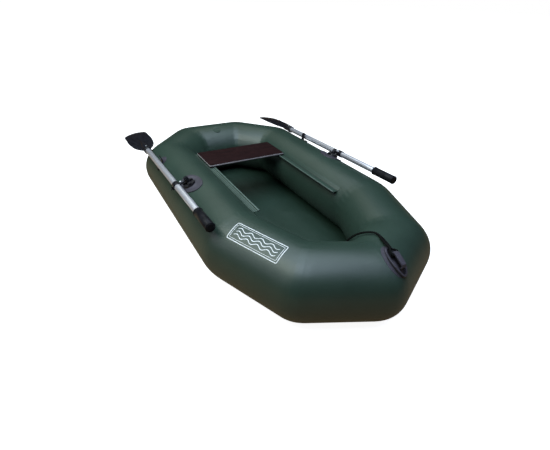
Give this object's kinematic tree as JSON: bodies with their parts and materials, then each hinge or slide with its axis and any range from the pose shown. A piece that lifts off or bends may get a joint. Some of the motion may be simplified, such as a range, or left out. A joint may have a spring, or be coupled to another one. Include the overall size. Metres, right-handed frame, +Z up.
{
  "type": "inflatable rowing boat",
  "caption": "Small inflatable rowing boat: round fabric tubes mitred to a pointed oval, flat floor, sliding plywood seat, oars stowed in swivelling oarlocks, towing eye with rope.",
  "frame": {"origin": "on the ground under the middle of the hull's length and beam", "axes": "+X to the bow, +Y to port, +Z up"},
  "size_m": [1.8409, 1.0736, 0.3209],
  "materials": {
    "hull_fabric": "satin coated fabric, dark green",
    "floor_fabric": "matt coated fabric, darker green",
    "track_vinyl": "extruded vinyl strip, pale green",
    "plywood": "film-faced plywood, dark red-brown, pale edges",
    "shoe_plastic": "black moulded plastic",
    "black_rubber": "moulded black rubber",
    "black_plastic": "moulded black plastic",
    "bright_steel": "plated steel",
    "shaft_aluminium": "drawn and anodised tube",
    "valve_plastic": "moulded green plastic",
    "rope": "braided black cord"
  },
  "bodies": {
    "hull": {"bow_end_port": "hull_fabric", "bow_end_starboard": "hull_fabric", "bow_quarter_port": "hull_fabric", "bow_quarter_starboard": "hull_fabric", "side_tube_port": "hull_fabric", "side_tube_starboard": "hull_fabric", "stern_quarter_port": "hull_fabric", "stern_quarter_starboard": "hull_fabric", "stern_end_port": "hull_fabric", "stern_end_starboard": "hull_fabric", "floor_panel": "floor_fabric", "seat_track_port": "track_vinyl", "seat_track_starboard": "track_vinyl", "oarlock_pad_port": "black_rubber", "oarlock_pad_starboard": "black_rubber", "oar_clip_port": "black_plastic", "oar_clip_starboard": "black_plastic", "towing_eye": "black_rubber", "air_valve": "valve_plastic", "painter_knot": "rope", "painter_rope": "rope", "painter_coil": "rope"},
    "seat": {"seat_board": "plywood", "seat_shoe_port": "shoe_plastic", "seat_shoe_starboard": "shoe_plastic"},
    "rocker_port": {"oarlock_rocker_port": "black_plastic"},
    "oar_port": {"oarlock_swivel_port": "black_plastic", "oarlock_stud_port": "bright_steel", "oar_collar_port": "black_plastic", "oar_shaft_port": "shaft_aluminium", "oar_grip_port": "black_plastic", "oar_blade_port": "black_plastic"},
    "rocker_starboard": {"oarlock_rocker_starboard": "black_plastic"},
    "oar_starboard": {"oarlock_swivel_starboard": "black_plastic", "oarlock_stud_starboard": "bright_steel", "oar_collar_starboard": "black_plastic", "oar_shaft_starboard": "shaft_aluminium", "oar_grip_starboard": "black_plastic", "oar_blade_starboard": "black_plastic"}
  },
  "joints": [
    {"name": "seat_slide", "type": "slide", "parent": "hull", "child": "seat", "axis": [1, 0, 0], "range_m": [-0.018, 0.5015]},
    {"name": "oar_lift_port", "type": "hinge", "parent": "hull", "child": "rocker_port", "pos_m": [-0.018, 0.40993, 0.28838], "axis": [1, 0, 0], "range_deg": [0, 15]},
    {"name": "oar_swing_port", "type": "hinge", "parent": "rocker_port", "child": "oar_port", "pos_m": [-0.018, 0.41732, 0.30424], "axis": [0, -0.4226, -0.9063], "range_deg": [0, 120]},
    {"name": "oar_lift_starboard", "type": "hinge", "parent": "hull", "child": "rocker_starboard", "pos_m": [-0.018, -0.40993, 0.28838], "axis": [-1, 0, 0], "range_deg": [0, 15]},
    {"name": "oar_swing_starboard", "type": "hinge", "parent": "rocker_starboard", "child": "oar_starboard", "pos_m": [-0.018, -0.41732, 0.30424], "axis": [0, -0.4226, 0.9063], "range_deg": [0, 120]}
  ]
}
